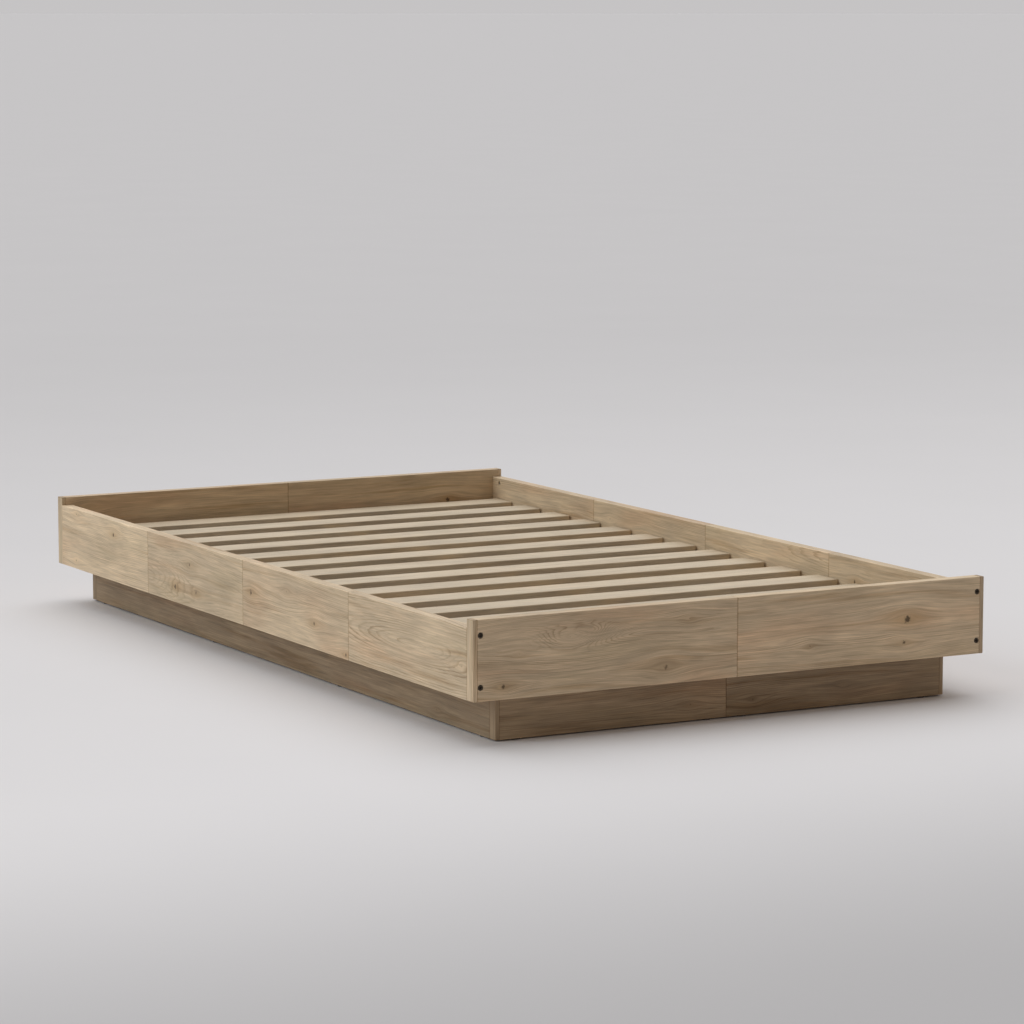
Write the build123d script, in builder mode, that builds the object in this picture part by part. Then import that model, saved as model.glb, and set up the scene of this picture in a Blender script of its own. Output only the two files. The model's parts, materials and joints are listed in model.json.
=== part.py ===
from build123d import *
from collections import namedtuple
import os

# A low platform bed: short boards joined into rails on a recessed plinth, with a loose slat mat inside.
# Sizes are in millimetres. X runs across the bed, Y along it from the foot at -Y, and Z up from the floor.

# Clear space inside the rails
well_width = 1110.0
well_length = 2010.0

# Side rails and end boards
board_thickness = 25.0
side_rail_height = 138.0
end_board_height = 156.0
rail_underside = 88.0
rail_board_count = 4
end_cap_width = 9.0
arris = 1.2

# Plinth, which stands back from the rails and reaches up behind them
plinth_thickness = 22.0
plinth_side_inset = 68.0
plinth_end_inset = 40.0
plinth_rise = 34.0
block_end_gap = 10.0
splice_length = 200.0

# Floor glides, each a disc with a pin that is driven into the plinth
glide_radius = 9.0
glide_height = 3.0
glide_rim = 0.8
glide_pin_radius = 1.2
glide_pin_length = 14.0
glide_end_gap = 40.0
long_glide_count = 4
short_glide_count = 2

# Ledgers and battens that carry the slats, and the blocks inside the plinth
batten_depth = 28.0
ledger_height = 36.0

# Bearers across the plinth, and the beam along the middle that is lapped into them
bearer_count = 4
bearer_width = 45.0
bearer_end_gap = 190.0
beam_width = 45.0
beam_seat = 10.0
beam_housing = 12.0
joint_clearance = 0.2
hole_end_room = 0.5

# Slat mat: slats held at their spacing by two straps
slat_count = 14
slat_width = 75.0
slat_thickness = 18.0
slat_side_gap = 3.0
slat_end_gap = 30.0
slat_arris = 2.0
strap_width = 25.0
strap_thickness = 2.0
strap_inset = 300.0
strap_end_gap = 6.0
strap_clearance = 2.8
tack_head_radius = 4.0
tack_head_height = 1.2
tack_radius = 1.0
tack_bite = 10.0
tack_spacing = 36.0

# Corner bolts with washers and barrel nuts
bolt_radius = 3.0
bolt_head_radius = 5.0
bolt_head_height = 6.0
bolt_socket_flat = 5.0
bolt_socket_depth = 3.5
bolt_sink = 1.0
bolt_clearance = 0.3
bolt_top_gap = 12.0
bolt_bottom_gap = 27.0
bolt_overrun = 4.0
counterbore_radius = 6.0
counterbore_wall = 1.0
washer_radius = 5.5
washer_thickness = 1.2
nut_radius = 5.0
nut_sink = 2.0
nut_distance = 35.0
nut_slot_width = 1.4
nut_slot_depth = 1.5
nut_clearance = 0.15
thread_clearance = 0.05

# Dowels across the seams and at the corners
dowel_radius = 4.0
dowel_length = 50.0
dowel_chamfer = 1.0
dowel_clearance = 0.1
dowel_edge_gap = 35.0
corner_dowel_cover = 9.0

# Countersunk wood screws
screw_radius = 2.2
screw_head_radius = 4.2
screw_tip = 4.0
screw_socket_flat = 2.5
screw_socket_depth = 1.4
screw_cover = 7.0
screw_clearance = 0.1
screw_edge_gap = 10.0
screw_seam_gap = 60.0
block_screw_gap = 18.0
block_screw_step = 16.0
splice_screw_offset = 70.0
countersink_angle = 90.0

# Steel angle brackets and their pan-head screws
bracket_leg = 40.0
bracket_width = 24.0
bracket_thickness = 2.5
bracket_bend = 3.0
bracket_holes = (16.0, 31.0)
bracket_hole_radius = 2.5
bracket_screw_radius = 2.0
bracket_screw_length = 15.0
bracket_head_radius = 3.8
bracket_head_height = 2.2
spine_bracket_gap = 32.0

# Places worked out from the sizes above
frame_width = well_width + 2 * board_thickness
frame_length = well_length + 2 * board_thickness
rail_inner_x = well_width / 2
rail_outer_x = frame_width / 2
rail_middle_x = (rail_inner_x + rail_outer_x) / 2
end_inner_y = well_length / 2
end_outer_y = frame_length / 2
end_middle_y = (end_inner_y + end_outer_y) / 2
side_rail_top = rail_underside + side_rail_height
end_board_top = rail_underside + end_board_height
cap_joint_x = rail_outer_x - end_cap_width

plinth_outer_x = rail_outer_x - plinth_side_inset
plinth_inner_x = plinth_outer_x - plinth_thickness
plinth_middle_x = (plinth_outer_x + plinth_inner_x) / 2
plinth_outer_y = end_outer_y - plinth_end_inset
plinth_inner_y = plinth_outer_y - plinth_thickness
plinth_middle_y = (plinth_outer_y + plinth_inner_y) / 2
plinth_cap_joint_x = plinth_outer_x - end_cap_width
plinth_top = rail_underside + plinth_rise
splice_inner_y = plinth_inner_y - batten_depth
block_bottom = glide_height + block_end_gap
block_top = plinth_top - block_end_gap

ledger_inner_x = rail_inner_x - batten_depth
batten_inner_y = end_inner_y - batten_depth
slat_level = plinth_top + ledger_height
bearer_top = slat_level - strap_thickness - tack_head_height - strap_clearance
beam_bottom = plinth_top + beam_seat
lap_level = (beam_bottom + bearer_top) / 2
beam_end_y = batten_inner_y + beam_housing - joint_clearance

slat_length = well_width - 2 * slat_side_gap
slat_reach = end_inner_y - slat_end_gap - slat_width / 2
strap_reach = slat_reach + slat_width / 2 - strap_end_gap
strap_x = slat_length / 2 - strap_inset

bolt_x = cap_joint_x - counterbore_wall - counterbore_radius
bolt_levels = (rail_underside + bolt_bottom_gap, side_rail_top - bolt_top_gap)
counterbore_depth = bolt_sink + bolt_head_height + washer_thickness
bolt_reach = nut_distance + nut_radius + bolt_overrun
nut_length = 2 * (bolt_x - rail_inner_x - nut_sink)
corner_dowel_depth = board_thickness - corner_dowel_cover
corner_dowel_level = (rail_underside + side_rail_top) / 2
screw_bite = min(board_thickness, plinth_thickness) - screw_cover
screw_length = batten_depth + screw_bite
ledger_screw_level = slat_level - screw_edge_gap
bracket_level = (plinth_top + bearer_top) / 2
dowel_hole_radius = dowel_radius + dowel_clearance
half_dowel_hole = dowel_length / 2 + hole_end_room
screw_hole_radius = screw_radius + screw_clearance

side_names = {-1: "left", 1: "right"}
end_names = {-1: "foot", 1: "head"}

Drilling = namedtuple("Drilling", "radius depth planes")
Bracket = namedtuple("Bracket", "corner first_leg second_leg")


def spread(count, reach):
    """Even places from -reach to +reach."""
    return [reach * (2 * index / (count - 1) - 1) for index in range(count)]


def planes_at(points, outward):
    """One plane at each point, facing outward from the timber."""
    return [Plane(origin=point, z_dir=outward) for point in points]


def leg_planes(bracket, lift=0.0):
    """Planes at the holes of a bracket's first leg, lifted off the timber that the leg lies on."""
    return [
        Plane(
            origin=bracket.corner + bracket.first_leg * along + bracket.second_leg * lift,
            z_dir=bracket.second_leg,
        )
        for along in bracket_holes
    ]


def turned(bracket):
    """The same bracket with its second leg named first."""
    return Bracket(bracket.corner, bracket.second_leg, bracket.first_leg)


def bracket_pilots(brackets):
    """Pilot holes in the timber under the first legs of these brackets."""
    planes = [plane for bracket in brackets for plane in leg_planes(bracket)]
    depth = bracket_screw_length - bracket_thickness + hole_end_room
    return Drilling(bracket_screw_radius + screw_clearance, depth, planes)


def save(piece, name):
    """Label a finished piece and write it to its own file."""
    piece.part.label = name
    export_step(piece.part, f"parts/{name}.step")


def drill(drilling):
    """Cut one set of like holes into the piece in hand."""
    with Locations(*drilling.planes):
        Hole(drilling.radius, drilling.depth)


def sink_screw_holes(planes):
    """Cut countersunk screw holes right through a batten or block in hand."""
    with Locations(*planes):
        CounterSinkHole(
            screw_hole_radius,
            screw_head_radius + screw_clearance,
            batten_depth + hole_end_room,
            countersink_angle,
        )


def save_board(name, low, high, drillings=(), screw_planes=(), housings=()):
    """A board with softened edges between two corners, with its blind holes, screw holes and housings."""
    size = Vector(*high) - Vector(*low)
    middle = (Vector(*high) + Vector(*low)) / 2
    with BuildPart() as board:
        with Locations(middle):
            Box(size.X, size.Y, size.Z)
        fillet(board.edges(), arris)
        for housing_low, housing_high in housings:
            housing_size = Vector(*housing_high) - Vector(*housing_low)
            with Locations((Vector(*housing_high) + Vector(*housing_low)) / 2):
                Box(housing_size.X, housing_size.Y, housing_size.Z, mode=Mode.SUBTRACT)
        for drilling in drillings:
            drill(drilling)
        if screw_planes:
            sink_screw_holes(screw_planes)
    save(board, name)


def across(low_x, high_x, side):
    """The two X limits of a piece, in order, on the side it belongs to."""
    return sorted((side * low_x, side * high_x))


os.makedirs("parts", exist_ok=True)

# Places that several pieces share
rail_ends = spread(rail_board_count + 1, end_inner_y)
seam_ys = rail_ends[1:-1]
bearer_ys = spread(bearer_count, plinth_inner_y - bearer_end_gap)
slat_ys = spread(slat_count, slat_reach)
rail_dowel_levels = (rail_underside + dowel_edge_gap, side_rail_top - dowel_edge_gap)
end_dowel_levels = (rail_underside + dowel_edge_gap, end_board_top - dowel_edge_gap)
plinth_dowel_levels = (glide_height + dowel_edge_gap, plinth_top - dowel_edge_gap)
block_side_levels = (block_bottom + block_screw_gap, block_top - block_screw_gap)
block_end_levels = (
    block_bottom + block_screw_gap + block_screw_step,
    block_top - block_screw_gap - block_screw_step,
)
ledger_screw_ys = [
    y
    for low_y, high_y in zip(rail_ends, rail_ends[1:])
    for y in (low_y + screw_seam_gap, high_y - screw_seam_gap)
]
batten_screw_xs = [
    side * x for side in side_names for x in (screw_seam_gap, ledger_inner_x - screw_seam_gap)
]
block_middle_x = plinth_inner_x - batten_depth / 2
block_middle_y = plinth_inner_y - batten_depth / 2

# Brackets lie in the inner corners where bearers meet ledgers and plinth, and where the spine ends
ledger_brackets = {}
plinth_brackets = {}
for index, bearer_y in enumerate(bearer_ys):
    inward_y = -1 if bearer_y > 0 else 1
    bearer_face_y = bearer_y + inward_y * bearer_width / 2
    for side in side_names:
        ledger_brackets[index, side] = Bracket(
            Vector(side * ledger_inner_x, bearer_face_y, bracket_level),
            Vector(-side, 0, 0),
            Vector(0, inward_y, 0),
        )
        plinth_brackets[index, side] = Bracket(
            Vector(side * plinth_inner_x, bearer_y, plinth_top),
            Vector(-side, 0, 0),
            Vector(0, 0, -1),
        )
spine_brackets = {}
for end in end_names:
    for side in side_names:
        level = glide_height + spine_bracket_gap if side < 0 else plinth_top - spine_bracket_gap
        spine_brackets[end, side] = Bracket(
            Vector(side * plinth_thickness / 2, end * splice_inner_y, level),
            Vector(side, 0, 0),
            Vector(0, -end, 0),
        )

# Side rails, each of short boards butted end to end
for side in side_names:
    inward = (-side, 0, 0)
    for index, (low_y, high_y) in enumerate(zip(rail_ends, rail_ends[1:])):
        drillings = [
            Drilling(
                screw_hole_radius,
                screw_bite + hole_end_room,
                planes_at(
                    [
                        (side * rail_inner_x, y, ledger_screw_level)
                        for y in ledger_screw_ys
                        if low_y < y < high_y
                    ],
                    inward,
                ),
            )
        ]
        for end, face_y in ((-1, low_y), (1, high_y)):
            outward = (0, end, 0)
            if abs(face_y) < end_inner_y:
                points = [(side * rail_middle_x, face_y, level) for level in rail_dowel_levels]
                drillings.append(Drilling(dowel_hole_radius, half_dowel_hole, planes_at(points, outward)))
            else:
                bolt_points = [(side * bolt_x, face_y, level) for level in bolt_levels]
                nut_points = [
                    (side * rail_inner_x, face_y - end * nut_distance, level) for level in bolt_levels
                ]
                dowel_point = (side * bolt_x, face_y, corner_dowel_level)
                drillings += [
                    Drilling(
                        bolt_radius + bolt_clearance,
                        bolt_reach + hole_end_room,
                        planes_at(bolt_points, outward),
                    ),
                    Drilling(
                        nut_radius + nut_clearance,
                        nut_sink + nut_length + hole_end_room,
                        planes_at(nut_points, inward),
                    ),
                    Drilling(
                        dowel_hole_radius,
                        dowel_length - corner_dowel_depth + hole_end_room,
                        planes_at([dowel_point], outward),
                    ),
                ]
        low_x, high_x = across(rail_inner_x, rail_outer_x, side)
        save_board(
            f"{side_names[side]}_rail_board_{index + 1}",
            (low_x, low_y, rail_underside),
            (high_x, high_y, side_rail_top),
            drillings,
        )

# Head and foot boards, each of two halves, with an upright cap on each outer end
for end in end_names:
    low_y, high_y = sorted((end * end_inner_y, end * end_outer_y))
    for side in side_names:
        bolt_points = [(side * bolt_x, end * end_outer_y, level) for level in bolt_levels]
        bolt_inner_points = [(side * bolt_x, end * end_inner_y, level) for level in bolt_levels]
        dowel_point = (side * bolt_x, end * end_inner_y, corner_dowel_level)
        seam_points = [(0, end * end_middle_y, level) for level in end_dowel_levels]
        screw_points = [
            (x, end * end_inner_y, ledger_screw_level) for x in batten_screw_xs if x * side > 0
        ]
        drillings = [
            Drilling(counterbore_radius, counterbore_depth, planes_at(bolt_points, (0, end, 0))),
            Drilling(
                bolt_radius + bolt_clearance,
                board_thickness,
                planes_at(bolt_inner_points, (0, -end, 0)),
            ),
            Drilling(
                dowel_hole_radius,
                corner_dowel_depth + hole_end_room,
                planes_at([dowel_point], (0, -end, 0)),
            ),
            Drilling(dowel_hole_radius, half_dowel_hole, planes_at(seam_points, (-side, 0, 0))),
            Drilling(screw_hole_radius, screw_bite + hole_end_room, planes_at(screw_points, (0, -end, 0))),
        ]
        low_x, high_x = across(0, cap_joint_x, side)
        save_board(
            f"{end_names[end]}_board_{side_names[side]}",
            (low_x, low_y, rail_underside),
            (high_x, high_y, end_board_top),
            drillings,
        )
        low_x, high_x = across(cap_joint_x, rail_outer_x, side)
        save_board(
            f"{end_names[end]}_end_cap_{side_names[side]}",
            (low_x, low_y, rail_underside),
            (high_x, high_y, end_board_top),
        )

# Ledgers along the side rails
for side in side_names:
    screw_planes = planes_at(
        [(side * ledger_inner_x, y, ledger_screw_level) for y in ledger_screw_ys],
        (-side, 0, 0),
    )
    brackets = [turned(ledger_brackets[index, side]) for index in range(bearer_count)]
    low_x, high_x = across(ledger_inner_x, rail_inner_x, side)
    save_board(
        f"{side_names[side]}_slat_ledger",
        (low_x, -end_inner_y, plinth_top),
        (high_x, end_inner_y, slat_level),
        [bracket_pilots(brackets)],
        screw_planes,
    )

# Battens behind the head and foot boards, housed for the ends of the beam
for end in end_names:
    screw_planes = planes_at(
        [(x, end * batten_inner_y, ledger_screw_level) for x in batten_screw_xs],
        (0, -end, 0),
    )
    low_y, high_y = sorted((end * batten_inner_y, end * end_inner_y))
    housing_low_y, housing_high_y = sorted(
        (end * (batten_inner_y - beam_housing), end * (batten_inner_y + beam_housing))
    )
    housing_half_width = beam_width / 2 + joint_clearance
    save_board(
        f"{end_names[end]}_batten",
        (-ledger_inner_x, low_y, plinth_top),
        (ledger_inner_x, high_y, slat_level),
        (),
        screw_planes,
        [
            (
                (-housing_half_width, housing_low_y, beam_bottom),
                (housing_half_width, housing_high_y, slat_level + ledger_height),
            )
        ],
    )

# Bearers across the plinth, notched from above for the beam
for index, bearer_y in enumerate(bearer_ys):
    drillings = [
        bracket_pilots([ledger_brackets[index, side] for side in side_names]),
        bracket_pilots([plinth_brackets[index, side] for side in side_names]),
    ]
    notch_half_width = beam_width / 2 + joint_clearance
    save_board(
        f"cross_bearer_{index + 1}",
        (-ledger_inner_x, bearer_y - bearer_width / 2, plinth_top),
        (ledger_inner_x, bearer_y + bearer_width / 2, bearer_top),
        drillings,
        (),
        [
            (
                (-notch_half_width, bearer_y - bearer_width, lap_level),
                (notch_half_width, bearer_y + bearer_width, slat_level),
            )
        ],
    )

# Centre beam, notched from below over each bearer
save_board(
    "centre_beam",
    (-beam_width / 2, -beam_end_y, beam_bottom),
    (beam_width / 2, beam_end_y, slat_level),
    (),
    (),
    [
        (
            (-beam_width, bearer_y - bearer_width / 2 - joint_clearance, plinth_top),
            (beam_width, bearer_y + bearer_width / 2 + joint_clearance, lap_level),
        )
        for bearer_y in bearer_ys
    ],
)

# Glide places under each plinth board and under the spine
side_glide_ys = spread(long_glide_count, plinth_inner_y - glide_end_gap)
spine_glide_ys = spread(long_glide_count, splice_inner_y - glide_end_gap)
half_glide_xs = [
    plinth_cap_joint_x / 2 + x for x in spread(short_glide_count, plinth_cap_joint_x / 2 - glide_end_gap)
]
glide_points = {}
for side in side_names:
    glide_points["side", side] = [(side * plinth_middle_x, y, glide_height) for y in side_glide_ys]
    for end in end_names:
        glide_points[end, side] = [(side * x, end * plinth_middle_y, glide_height) for x in half_glide_xs]
glide_points["spine", 0] = [(0, y, glide_height) for y in spine_glide_ys]


def glide_pin_holes(key):
    """Holes for the pins of the glides under one plinth board."""
    return Drilling(
        glide_pin_radius + screw_clearance,
        glide_pin_length + hole_end_room,
        planes_at(glide_points[key], (0, 0, -1)),
    )


# Plinth side boards
for side in side_names:
    brackets = [turned(plinth_brackets[index, side]) for index in range(bearer_count)]
    block_points = [
        (side * plinth_inner_x, end * block_middle_y, level)
        for end in end_names
        for level in block_side_levels
    ]
    low_x, high_x = across(plinth_inner_x, plinth_outer_x, side)
    save_board(
        f"plinth_{side_names[side]}_side",
        (low_x, -plinth_inner_y, glide_height),
        (high_x, plinth_inner_y, plinth_top),
        [
            bracket_pilots(brackets),
            Drilling(screw_hole_radius, screw_bite + hole_end_room, planes_at(block_points, (-side, 0, 0))),
            glide_pin_holes(("side", side)),
        ],
    )

# Plinth head and foot boards, each of two halves
for end in end_names:
    low_y, high_y = sorted((end * plinth_inner_y, end * plinth_outer_y))
    for side in side_names:
        seam_points = [(0, end * plinth_middle_y, level) for level in plinth_dowel_levels]
        screw_points = [
            *[(side * block_middle_x, end * plinth_inner_y, level) for level in block_end_levels],
            *[(side * splice_screw_offset, end * plinth_inner_y, level) for level in block_side_levels],
        ]
        low_x, high_x = across(0, plinth_cap_joint_x, side)
        save_board(
            f"plinth_{end_names[end]}_{side_names[side]}",
            (low_x, low_y, glide_height),
            (high_x, high_y, plinth_top),
            [
                Drilling(dowel_hole_radius, half_dowel_hole, planes_at(seam_points, (-side, 0, 0))),
                Drilling(
                    screw_hole_radius,
                    screw_bite + hole_end_room,
                    planes_at(screw_points, (0, -end, 0)),
                ),
                glide_pin_holes((end, side)),
            ],
        )

# Spine along the middle of the plinth
save_board(
    "plinth_spine",
    (-plinth_thickness / 2, -splice_inner_y, glide_height),
    (plinth_thickness / 2, splice_inner_y, plinth_top),
    [bracket_pilots([turned(bracket) for bracket in spine_brackets.values()]), glide_pin_holes(("spine", 0))],
)

# Upright caps on the plinth's four corners
with BuildPart() as plinth_end_caps:
    for end in end_names:
        for side in side_names:
            cap_middle = (
                side * (plinth_cap_joint_x + plinth_outer_x) / 2,
                end * plinth_middle_y,
                (glide_height + plinth_top) / 2,
            )
            with Locations(cap_middle):
                Box(end_cap_width, plinth_thickness, plinth_top - glide_height)
    fillet(plinth_end_caps.edges(), arris)
save(plinth_end_caps, "plinth_end_caps")

# Square blocks in the plinth's corners
block_side_planes = []
block_end_planes = []
with BuildPart() as plinth_corner_blocks:
    for end in end_names:
        for side in side_names:
            with Locations((side * block_middle_x, end * block_middle_y, (block_bottom + block_top) / 2)):
                Box(batten_depth, batten_depth, block_top - block_bottom)
            side_face_x = side * (plinth_inner_x - batten_depth)
            end_face_y = end * (plinth_inner_y - batten_depth)
            block_side_planes += planes_at(
                [(side_face_x, end * block_middle_y, level) for level in block_side_levels],
                (-side, 0, 0),
            )
            block_end_planes += planes_at(
                [(side * block_middle_x, end_face_y, level) for level in block_end_levels],
                (0, -end, 0),
            )
    fillet(plinth_corner_blocks.edges(), arris)
    sink_screw_holes([*block_side_planes, *block_end_planes])
save(plinth_corner_blocks, "plinth_corner_blocks")

# Blocks behind the seams of the plinth's head and foot boards
splice_planes = []
with BuildPart() as plinth_splice_blocks:
    for end in end_names:
        with Locations((0, end * block_middle_y, (block_bottom + block_top) / 2)):
            Box(splice_length, batten_depth, block_top - block_bottom)
        splice_planes += planes_at(
            [
                (side * splice_screw_offset, end * splice_inner_y, level)
                for side in side_names
                for level in block_side_levels
            ],
            (0, -end, 0),
        )
    fillet(plinth_splice_blocks.edges(), arris)
    sink_screw_holes(splice_planes)
    drill(bracket_pilots(spine_brackets.values()))
save(plinth_splice_blocks, "plinth_splice_blocks")

# Floor glides
with BuildPart() as glide:
    Cylinder(glide_radius, glide_height, align=(Align.CENTER, Align.CENTER, Align.MAX))
    chamfer(glide.edges().group_by(Axis.Z)[0], glide_rim)
    Cylinder(glide_pin_radius, glide_pin_length, align=(Align.CENTER, Align.CENTER, Align.MIN))

with BuildPart() as floor_glides:
    with Locations(*[point for points in glide_points.values() for point in points]):
        add(glide.part)
save(floor_glides, "floor_glides")

# Slats, with holes for the strap tacks in their undersides
tack_points = {
    (index, side): [
        (side * strap_x, slat_y + offset, slat_level) for offset in (-tack_spacing / 2, tack_spacing / 2)
    ]
    for index, slat_y in enumerate(slat_ys)
    for side in side_names
}
for index, slat_y in enumerate(slat_ys):
    points = [point for side in side_names for point in tack_points[index, side]]
    with BuildPart() as slat:
        with Locations((0, slat_y, slat_level + slat_thickness / 2)):
            Box(slat_length, slat_width, slat_thickness)
        fillet(slat.edges(), slat_arris)
        with Locations(*planes_at(points, (0, 0, -1))):
            Hole(tack_radius + screw_clearance, tack_bite + hole_end_room)
    save(slat, f"slat_{index + 1:02d}")

# Straps along the undersides of the slats
for side in side_names:
    points = [point for index in range(slat_count) for point in tack_points[index, side]]
    with BuildPart() as strap:
        with Locations((side * strap_x, 0, slat_level - strap_thickness / 2)):
            Box(strap_width, 2 * strap_reach, strap_thickness)
        with Locations(*points):
            Hole(tack_radius + screw_clearance, strap_thickness)
    save(strap, f"{side_names[side]}_slat_strap")

# Tacks through the straps, drawn with the underside of the head on the strap
with BuildPart() as tack:
    Cylinder(tack_head_radius, tack_head_height, align=(Align.CENTER, Align.CENTER, Align.MAX))
    Cylinder(tack_radius, strap_thickness + tack_bite, align=(Align.CENTER, Align.CENTER, Align.MIN))

with BuildPart() as strap_tacks:
    with Locations(*[(x, y, z - strap_thickness) for points in tack_points.values() for x, y, z in points]):
        add(tack.part)
save(strap_tacks, "strap_tacks")

# Corner bolts, drawn with the underside of the head at the origin and the shank down
bolt_places = [
    (side, end, level) for side in side_names for end in end_names for level in bolt_levels
]
bolt_length = washer_thickness + board_thickness - counterbore_depth + bolt_reach
with BuildPart() as bolt:
    Cylinder(bolt_radius, bolt_length, align=(Align.CENTER, Align.CENTER, Align.MAX))
    Cylinder(bolt_head_radius, bolt_head_height, align=(Align.CENTER, Align.CENTER, Align.MIN))
    with BuildSketch(Plane.XY.offset(bolt_head_height)):
        RegularPolygon(bolt_socket_flat / 2, 6, major_radius=False)
    extrude(amount=-bolt_socket_depth, mode=Mode.SUBTRACT)

with BuildPart() as corner_bolts:
    head_y = end_outer_y - bolt_sink - bolt_head_height
    for side, end, level in bolt_places:
        with Locations(Plane(origin=(side * bolt_x, end * head_y, level), z_dir=(0, end, 0))):
            add(bolt.part)
save(corner_bolts, "corner_bolts")

# Washers under the bolt heads
with BuildPart() as washer:
    Cylinder(washer_radius, washer_thickness, align=(Align.CENTER, Align.CENTER, Align.MIN))
    Hole(bolt_radius + bolt_clearance)

with BuildPart() as bolt_washers:
    floor_y = end_outer_y - counterbore_depth
    for side, end, level in bolt_places:
        with Locations(Plane(origin=(side * bolt_x, end * floor_y, level), z_dir=(0, end, 0))):
            add(washer.part)
save(bolt_washers, "bolt_washers")

# Barrel nuts in the rails, with a slot in the end that shows
with BuildPart() as barrel_nut:
    Cylinder(nut_radius, nut_length)
    with Locations(Plane.XZ):
        Cylinder(bolt_radius + thread_clearance, 2 * nut_length, mode=Mode.SUBTRACT)
    with Locations((0, 0, nut_length / 2)):
        Box(2 * nut_radius, nut_slot_width, 2 * nut_slot_depth, mode=Mode.SUBTRACT)

with BuildPart() as barrel_nuts:
    for side, end, level in bolt_places:
        nut_origin = (side * bolt_x, end * (end_inner_y - nut_distance), level)
        with Locations(Plane(origin=nut_origin, x_dir=(0, 0, 1), z_dir=(-side, 0, 0))):
            add(barrel_nut.part)
save(barrel_nuts, "barrel_nuts")

# Dowels across the seams and from the end boards into the rails
dowel_planes = []
for side in side_names:
    for seam_y in seam_ys:
        points = [(side * rail_middle_x, seam_y, level) for level in rail_dowel_levels]
        dowel_planes += planes_at(points, (0, 1, 0))
for end in end_names:
    end_points = [(0, end * end_middle_y, level) for level in end_dowel_levels]
    plinth_points = [(0, end * plinth_middle_y, level) for level in plinth_dowel_levels]
    dowel_planes += planes_at(end_points + plinth_points, (1, 0, 0))
    corner_dowel_y = end_inner_y + corner_dowel_depth - dowel_length / 2
    corner_points = [(side * bolt_x, end * corner_dowel_y, corner_dowel_level) for side in side_names]
    dowel_planes += planes_at(corner_points, (0, 1, 0))

with BuildPart() as dowel:
    Cylinder(dowel_radius, dowel_length)
    chamfer(dowel.edges().filter_by(GeomType.CIRCLE), dowel_chamfer)

with BuildPart() as dowels:
    with Locations(*dowel_planes):
        add(dowel.part)
save(dowels, "dowels")

# Countersunk screws through ledgers, battens and blocks, drawn with the head's face at the origin
screw_head_height = screw_head_radius - screw_radius
with BuildPart() as wood_screw:
    with BuildSketch(Plane.XZ):
        with BuildLine():
            Polyline(
                (0, 0),
                (screw_head_radius, 0),
                (screw_radius, -screw_head_height),
                (screw_radius, screw_tip - screw_length),
                (0, -screw_length),
                close=True,
            )
        make_face()
    revolve(axis=Axis.Z)
    with BuildSketch():
        RegularPolygon(screw_socket_flat / 2, 6, major_radius=False)
    extrude(amount=-screw_socket_depth, mode=Mode.SUBTRACT)

wood_screw_planes = [*block_side_planes, *block_end_planes, *splice_planes]
for side in side_names:
    points = [(side * ledger_inner_x, y, ledger_screw_level) for y in ledger_screw_ys]
    wood_screw_planes += planes_at(points, (-side, 0, 0))
for end in end_names:
    points = [(x, end * batten_inner_y, ledger_screw_level) for x in batten_screw_xs]
    wood_screw_planes += planes_at(points, (0, -end, 0))

with BuildPart() as wood_screws:
    with Locations(*wood_screw_planes):
        add(wood_screw.part)
save(wood_screws, "wood_screws")

# Steel angle brackets, each a bent strip with two holes in each leg
brackets = [*ledger_brackets.values(), *plinth_brackets.values(), *spine_brackets.values()]
bracket_planes = [
    Plane(
        origin=bracket.corner,
        x_dir=bracket.first_leg,
        z_dir=bracket.first_leg.cross(bracket.second_leg),
    )
    for bracket in brackets
]
with BuildPart() as angle_bracket:
    with BuildSketch():
        with BuildLine():
            Polyline(
                (0, 0),
                (bracket_leg, 0),
                (bracket_leg, bracket_thickness),
                (bracket_thickness, bracket_thickness),
                (bracket_thickness, bracket_leg),
                (0, bracket_leg),
                close=True,
            )
        make_face()
    extrude(amount=bracket_width / 2, both=True)
    upright_edges = angle_bracket.edges().filter_by(Axis.Z)
    inner_bend = upright_edges.sort_by_distance((bracket_thickness, bracket_thickness))[0]
    fillet(inner_bend, bracket_bend)
    local_bracket = Bracket(Vector(0, 0, 0), Vector(1, 0, 0), Vector(0, 1, 0))
    with Locations(
        *leg_planes(local_bracket, bracket_thickness),
        *leg_planes(turned(local_bracket), bracket_thickness),
    ):
        Hole(bracket_hole_radius, bracket_thickness)

with BuildPart() as angle_brackets:
    with Locations(*bracket_planes):
        add(angle_bracket.part)
save(angle_brackets, "angle_brackets")

# Pan-head screws of the brackets, drawn with the underside of the head at the origin
with BuildPart() as bracket_screw:
    with BuildSketch(Plane.XZ):
        with BuildLine():
            Polyline(
                (0, bracket_head_height),
                (bracket_head_radius, bracket_head_height),
                (bracket_head_radius, 0),
                (bracket_screw_radius, 0),
                (bracket_screw_radius, screw_tip - bracket_screw_length),
                (0, -bracket_screw_length),
                close=True,
            )
        make_face()
    revolve(axis=Axis.Z)
    with BuildSketch(Plane.XY.offset(bracket_head_height)):
        RegularPolygon(screw_socket_flat / 2, 6, major_radius=False)
    extrude(amount=-screw_socket_depth, mode=Mode.SUBTRACT)

with BuildPart() as bracket_screws:
    for bracket in brackets:
        with Locations(
            *leg_planes(bracket, bracket_thickness),
            *leg_planes(turned(bracket), bracket_thickness),
        ):
            add(bracket_screw.part)
save(bracket_screws, "bracket_screws")
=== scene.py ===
"""Looks for a low wooden platform bed: sawn boards, pale inner timber, webbing, ironwork and a studio.

The file is laid out as an add-on. Each operator dresses one group of the bed's pieces, and the settings hold
the sizes and colours that a user would change. Lengths are in metres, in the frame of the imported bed:
X across it, Y along it from the foot to the head, Z up.
"""
import json
import math
import random
from collections import namedtuple
from functools import partial

import bmesh
import bpy
from bpy.props import FloatProperty, FloatVectorProperty, PointerProperty
from mathutils import Matrix, Vector


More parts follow.
